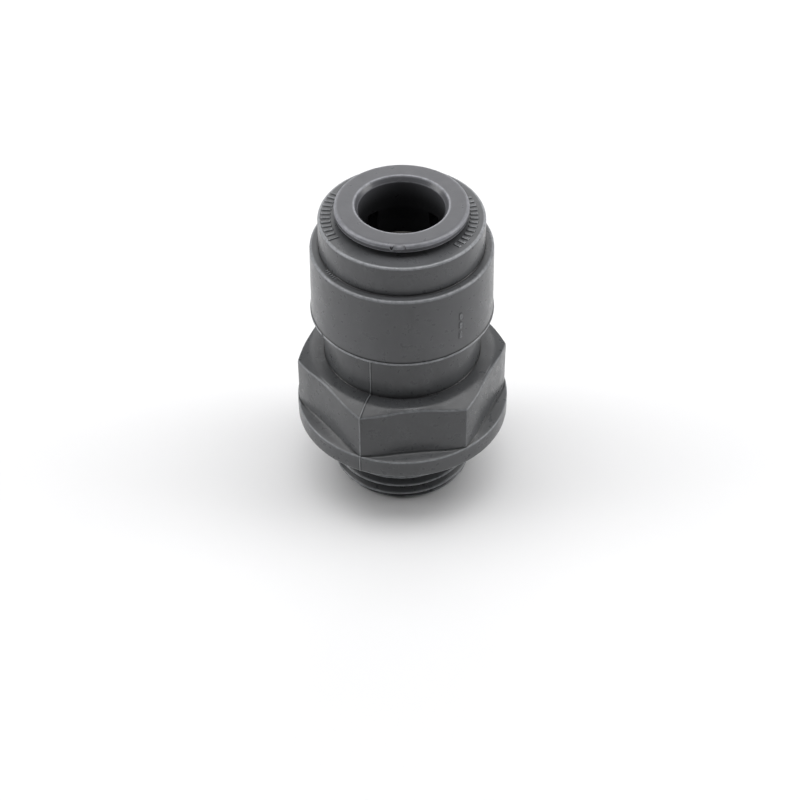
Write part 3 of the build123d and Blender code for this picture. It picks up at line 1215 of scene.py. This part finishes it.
@dataclass
class ReleaseCollet:
    """The release ring with its neck and four fingers, and the steel teeth in the fingers."""

    finish: MouldedPlastic
    tooth_finish: StampedSteel
    outer: Span = field(default_factory=lambda: Span.of("release_collet"))
    cap: Span = field(default_factory=lambda: Span.of("cap"))
    finger_step: float = 1.15
    finger_relief: float = 0.2
    relief_run: float = 1.6
    finger_bevel: float = 0.8
    finger_count: int = 4
    ring_thickness: float = 0.92
    mouth_chamfer: tuple[float, float] = (0.4, 0.6)
    slot_turn: float = 42.0
    slot_width: float = 1.55
    slot_depth: float = 4.0
    shade_reach: float = 3.2
    tooth_shade_reach: float = 3.0
    column_step: float = 1.0
    cam_clearance: float = 0.25
    draw_travel: float = 0.7
    tooth_bite: float = 0.14
    tooth_angle: float = 26.0
    tooth_cover: float = 0.46
    tooth_thickness: float = 0.25
    tooth_edge: float = 0.35
    tooth_arc: float = 46.0
    tooth_rise: float = 0.75
    tooth_clearance: float = 0.02
    tooth_arc_clearance: float = 1.0
    tooth_bevel: float = 0.025
    gate_turn: float = 267.5
    gate_r: float = 0.35
    gate_stretch: float = 1.5
    nick_aside: float = 0.8
    nick_r: float = 0.1
    nick_fade: float = 0.2
    gate_height: float = 0.1
    gate_fade: float = 0.34

    def __post_init__(self) -> None:
        """Works the collet's other radii and heights out from the frame."""
        self.ring_r = self.outer.radius
        self.finger_r = SHARED.neck_r + self.finger_step
        self.finger_bore_r = SHARED.socket_r + self.finger_relief
        self.ring_foot_z = self.outer.top - self.ring_thickness
        self.slot_top_z = self.outer.top - self.slot_depth
        cam_top_z = self.cap.top - SHARED.mark_height - SHARED.neck_hole_length
        touch_z = cam_top_z + SHARED.neck_clearance / SHARED.cam_slope
        self.cone_top_z = touch_z - self.draw_travel - self.cam_clearance
        self.cone_foot_z = self.cone_top_z - self.finger_step / SHARED.cam_slope
        self.tip_r = SHARED.tube_r - self.tooth_bite
        self.tip_z = self.outer.foot + self.tooth_rise
        lean = cos(radians(self.tooth_angle))
        self.tooth_length = (self.finger_r - self.tooth_cover - self.tip_r) / lean

    def section(self, _turn: float) -> list[Point]:
        """The collet's section before the slots are cut.

        Args:
            _turn: where, in degrees; the section is the same at every turn.

        Returns:
            Its points, outside upwards and then inside downwards.
        """
        width, depth = self.mouth_chamfer
        corners = [
            Corner(self.finger_bore_r, self.outer.foot, 0.06, 3),
            Corner(self.finger_r - self.finger_bevel, self.outer.foot, 0.15, 2),
            Corner(self.finger_r, self.outer.foot + self.finger_bevel, 0.15, 2),
            Corner(self.finger_r, self.cone_foot_z, 0.15, 4),
            Corner(SHARED.neck_r, self.cone_top_z, 0.15, 3),
            Corner(SHARED.neck_r, self.ring_foot_z, 0.08, 3),
            Corner(self.ring_r, self.ring_foot_z, 0.14, 12),
            Corner(self.ring_r, self.outer.top, 0.42, 10),
            Corner(SHARED.socket_r + width, self.outer.top, 0.07, 3),
            Corner(SHARED.socket_r, self.outer.top - depth, 0.12, 8),
            Corner(SHARED.socket_r, self.slot_top_z, 0.05),
            Corner(self.finger_bore_r, self.slot_top_z - self.relief_run, 0.3, 8),
        ]
        return rounded_section(corners)

    def gate_mark(self, radii: np.ndarray, turns: np.ndarray, heights: np.ndarray) -> np.ndarray:
        """Height of the torn gate on the ring's side.

        Args:
            radii: the points' radii.
            turns: the points' turns.
            heights: the points' heights.

        Returns:
            How far each point is raised, in millimetres.
        """
        side = radii > self.ring_r - 0.15
        aside = self.ring_r * np.radians(turn_gap(turns, self.gate_turn))
        above = heights - (self.ring_foot_z + self.outer.top) / 2
        reach = np.hypot(aside / self.gate_stretch, above)
        stub = plateau(reach, self.gate_r, self.gate_fade)
        nick = plateau(np.hypot(aside + self.nick_aside, above), self.nick_r, self.nick_fade)
        return np.where(side, self.gate_height * (stub - nick), 0.0)

    def tooth_outline(self, grow: float) -> list[Point]:
        """Corners of a tooth's section.

        Args:
            grow: how much larger than the tooth, all round.

        Returns:
            The corners as radius and height.
        """
        along = (cos(radians(self.tooth_angle)), sin(radians(self.tooth_angle)))
        across = (-along[1], along[0])
        flat = [
            (-grow, -grow),
            (self.tooth_length + grow, -grow),
            (self.tooth_length + grow, self.tooth_thickness + grow),
            (self.tooth_edge - grow, self.tooth_thickness + grow),
        ]
        return [
            (
                self.tip_r + u * along[0] + v * across[0],
                self.tip_z + u * along[1] + v * across[1],
            )
            for u, v in flat
        ]

    def slot_cutter(self) -> bpy.types.Object:
        """Makes the upright blocks that part the fingers.

        Returns:
            The blocks, as one object.
        """
        work = bmesh.new()
        low, high = self.outer.foot - 1, self.slot_top_z
        near, far = SHARED.socket_r - 2, self.finger_r + 1
        size = (far - near, self.slot_width, high - low)
        middle = ((near + far) / 2, 0, (low + high) / 2)
        for k in range(self.finger_count):
            turn = radians(self.slot_turn + 360 / self.finger_count * k)
            placed = Matrix.Rotation(turn, 4, "Z") @ Matrix.Translation(Vector(middle) * MM)
            block = bmesh.ops.create_cube(work, size=1)["verts"]
            stretch = Matrix.Diagonal((*(Vector(size) * MM), 1))
            bmesh.ops.transform(work, matrix=placed @ stretch, verts=block)
        mesh = bpy.data.meshes.new("slot_cutter")
        work.to_mesh(mesh)
        work.free()
        return place_mesh("slot_cutter", mesh)

    def finger_turns(self) -> list[float]:
        """Turns of the fingers' middles."""
        pitch = 360 / self.finger_count
        return [self.slot_turn + pitch * (k + 0.5) for k in range(self.finger_count)]

    def moulding(self) -> bpy.types.Object:
        """Makes and dresses the moulding: ring, neck and fingers, with the teeth's pockets.

        Returns:
            The finished piece.
        """
        zones = [Zone(self.gate_turn, half=8.5, columns=86)]
        turns = columns(self.column_step, zones)
        turned = TurnedMesh("release_collet_moulding", turns, self.section)
        turned.relief(self.gate_mark)
        piece = turned.piece()
        cut_away(piece, self.slot_cutter())
        pocket_arc = self.tooth_arc + self.tooth_arc_clearance
        for turn in self.finger_turns():
            pocket = arc_solid(self.tooth_outline(self.tooth_clearance), turn, pocket_arc, steps=12)
            cut_away(piece, place_mesh("pocket_cutter", pocket))
        dress(piece, self.finish, Carrier.COLLET, "release_collet", crease=30)
        mouth_r = SHARED.socket_r + self.mouth_chamfer[0]
        mark_depth(piece.data, mouth_r, self.outer.top, self.shade_reach)
        return piece

    def tooth(self, number: int, turn: float) -> bpy.types.Object:
        """Makes and dresses a tooth.

        Args:
            number: the tooth's number, from 1.
            turn: the turn of its middle, in degrees.

        Returns:
            The finished piece.
        """
        mesh = arc_solid(self.tooth_outline(0), turn, self.tooth_arc, steps=24)
        tooth = place_mesh(f"steel_tooth_{number}", mesh)
        bevel = tooth.modifiers.new("sheared_edges", "BEVEL")
        bevel.width = self.tooth_bevel * MM
        bevel.segments = 2
        bevel.limit_method = "ANGLE"
        evaluated = tooth.evaluated_get(bpy.context.evaluated_depsgraph_get())
        tooth.data = bpy.data.meshes.new_from_object(evaluated)
        tooth.modifiers.clear()
        dress(tooth, self.tooth_finish, Carrier.COLLET, f"gripping_tooth_{number}")
        mark_depth(tooth.data, self.ring_r, self.slot_top_z, self.tooth_shade_reach)
        return tooth

    def build(self) -> list[bpy.types.Object]:
        """Makes the collet and its teeth.

        Returns:
            The finished pieces.
        """
        teeth = enumerate(self.finger_turns(), start=1)
        return [self.moulding(), *(self.tooth(number, turn) for number, turn in teeth)]


# ------------------------------------------------------------------ seals and rings


@dataclass
class SealStack:
    """Tube seals, the rings that hold them and the thread's seal."""

    rubber: NitrileRubber
    plastic: MouldedPlastic
    flash_height: float = 0.02
    flash_width: float = 0.07
    round_cuts: int = 48
    round_step: float = 2.5
    flat_edge: float = 0.08
    flat_step: float = 2.0

    def __post_init__(self) -> None:
        """Works out the bore of the two flat rings."""
        self.ring_bore_r = SHARED.socket_r + SHARED.ring_bore_clearance

    def round_ring(self, node: str) -> bpy.types.Object:
        """Makes and dresses a round-section ring with the flash line of its mould.

        Args:
            node: the CAD node that it stands for.

        Returns:
            The finished piece.
        """
        span = Span.of(node)
        radius = (span.top - span.foot) / 2
        centre_r, centre_z = span.radius - radius, (span.top + span.foot) / 2

        def section(_turn: float) -> list[Point]:
            """The round section, drawn in just enough for the flash to reach the full size.

            Args:
                _turn: where, in degrees; the section is the same at every turn.

            Returns:
                Its points.
            """
            points = []
            for k in range(self.round_cuts):
                angle = radians(360 * k / self.round_cuts - 90)
                flash = np.exp(-((sin(angle) * radius / self.flash_width) ** 2))
                reach = radius - self.flash_height * (1 - flash)
                points.append((centre_r + reach * cos(angle), centre_z + reach * sin(angle)))
            return points

        turned = TurnedMesh(f"{node}_ring", columns(self.round_step), section)
        return dress(turned.piece(), self.rubber, Carrier.FITTING, node)

    def flat_ring(self, node: str) -> bpy.types.Object:
        """Makes and dresses a flat ring with softened edges.

        Args:
            node: the CAD node that it stands for.

        Returns:
            The finished piece.
        """
        span = Span.of(node)
        corners = [
            Corner(self.ring_bore_r, span.foot, self.flat_edge, 3),
            Corner(span.radius, span.foot, self.flat_edge),
            Corner(span.radius, span.top, self.flat_edge, 3),
            Corner(self.ring_bore_r, span.top, self.flat_edge),
        ]
        points = rounded_section(corners)
        turned = TurnedMesh(f"{node}_ring", columns(self.flat_step), lambda _turn: points)
        return dress(turned.piece(), self.plastic, Carrier.FITTING, node)

    def build(self) -> list[bpy.types.Object]:
        """Makes all the rings.

        Returns:
            The finished pieces.
        """
        seals = ("tube_seal_lower", "tube_seal_upper", "thread_seal")
        rings = ("seal_spacer", "backup_washer")
        return [*map(self.round_ring, seals), *map(self.flat_ring, rings)]


# ------------------------------------------------------------------ studio


@dataclass(frozen=True)
class Softbox:
    """A rectangular soft light: its place and size in millimetres, its power in watts."""

    name: str
    place: tuple[float, float, float]
    size: tuple[float, float]
    power: float
    aim: tuple[float, float, float] = (0.0, 0.0, 20.0)

    def build(self) -> None:
        """Makes the light."""
        data = bpy.data.lights.new(self.name, "AREA")
        data.shape = "RECTANGLE"
        data.size, data.size_y = self.size[0] * MM, self.size[1] * MM
        data.energy = self.power
        lamp = bpy.data.objects.new(self.name, data)
        bpy.context.scene.collection.objects.link(lamp)
        away = Vector(self.place) - Vector(self.aim)
        lamp.location = Vector(self.place) * MM
        lamp.rotation_euler = away.to_track_quat("Z", "Y").to_euler()


@dataclass
class Studio:
    """White sweep, soft lights and the camera."""

    sweep: WhiteSweep = field(default_factory=WhiteSweep)
    floor_half: float = 1500.0
    camera_place: tuple[float, float, float] = (-0.307, -157.165, 156.909)
    camera_down: float = 43.2652
    camera_roll: float = 0.3469
    lens: float = 81.0
    sensor: float = 36.0
    sky: float = 0.14
    softboxes: tuple[Softbox, ...] = (
        Softbox("top_softbox", (0, 45, 480), (1300, 340), 4.9),
        Softbox("back_softbox", (0, 520, 330), (800, 300), 1.4),
        Softbox("left_softbox", (-520, 0, 170), (240, 220), 1.0),
        Softbox("right_softbox", (520, 0, 170), (240, 220), 1.0),
    )

    def lay_sweep(self) -> None:
        """Lays the white card that the fitting stands on."""
        half = self.floor_half * MM
        mesh = bpy.data.meshes.new("sweep")
        mesh.from_pydata(
            [(-half, -half, 0), (half, -half, 0), (half, half, 0), (-half, half, 0)],
            [],
            [(0, 1, 2, 3)],
        )
        mesh.materials.append(self.sweep.material())
        place_mesh("sweep", mesh)

    def hang_lights(self) -> None:
        """Sets up the even sky and the softboxes."""
        world = bpy.data.worlds.new("studio")
        world.use_nodes = True
        sky = world.node_tree.nodes["Background"]
        sky.inputs["Color"].default_value = (1.0, 1.0, 1.0, 1.0)
        sky.inputs["Strength"].default_value = self.sky
        bpy.context.scene.world = world
        bpy.context.scene.view_settings.view_transform = "Standard"
        for softbox in self.softboxes:
            softbox.build()

    def set_camera(self) -> None:
        """Puts the camera in front of the fitting, above it and looking down."""
        data = bpy.data.cameras.new("camera")
        data.lens = self.lens
        data.sensor_width = self.sensor
        camera = bpy.data.objects.new("camera", data)
        bpy.context.scene.collection.objects.link(camera)
        turned = Matrix.Rotation(radians(90 - self.camera_down), 4, "X")
        rolled = turned @ Matrix.Rotation(radians(-self.camera_roll), 4, "Z")
        camera.matrix_world = Matrix.Translation(Vector(self.camera_place) * MM) @ rolled
        bpy.context.scene.camera = camera

    def build(self) -> None:
        """Sets up the sweep, the lights and the camera."""
        self.lay_sweep()
        self.hang_lights()
        self.set_camera()


# ------------------------------------------------------------------ making


def main() -> None:
    """Builds every piece round the frame and the studio, and logs each piece."""
    logging.basicConfig(level=logging.INFO, format="%(message)s")
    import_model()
    body_plastic = MouldedPlastic("body_acetal", Slot.BODY, (0.059, 0.061, 0.064))
    cap_plastic = MouldedPlastic("cap_acetal", Slot.CAP, (0.074, 0.076, 0.080))
    collet_plastic = MouldedPlastic(
        "collet_acetal", Slot.COLLET, (0.080, 0.081, 0.088), roughness=0.32
    )
    ring_plastic = MouldedPlastic("ring_acetal", Slot.RING, (0.05, 0.05, 0.052))
    sub_assemblies = (
        BodyMoulding(body_plastic),
        CapMoulding(cap_plastic),
        ReleaseCollet(collet_plastic, StampedSteel()),
        SealStack(NitrileRubber(), ring_plastic),
    )
    for sub_assembly in sub_assemblies:
        for piece in sub_assembly.build():
            LOG.info("%s: %d points", piece.name, len(piece.data.vertices))
    studio = Studio()
    studio.build()
    LOG.info("studio: %d softboxes", len(studio.softboxes))


if __name__ == "__main__":
    main()
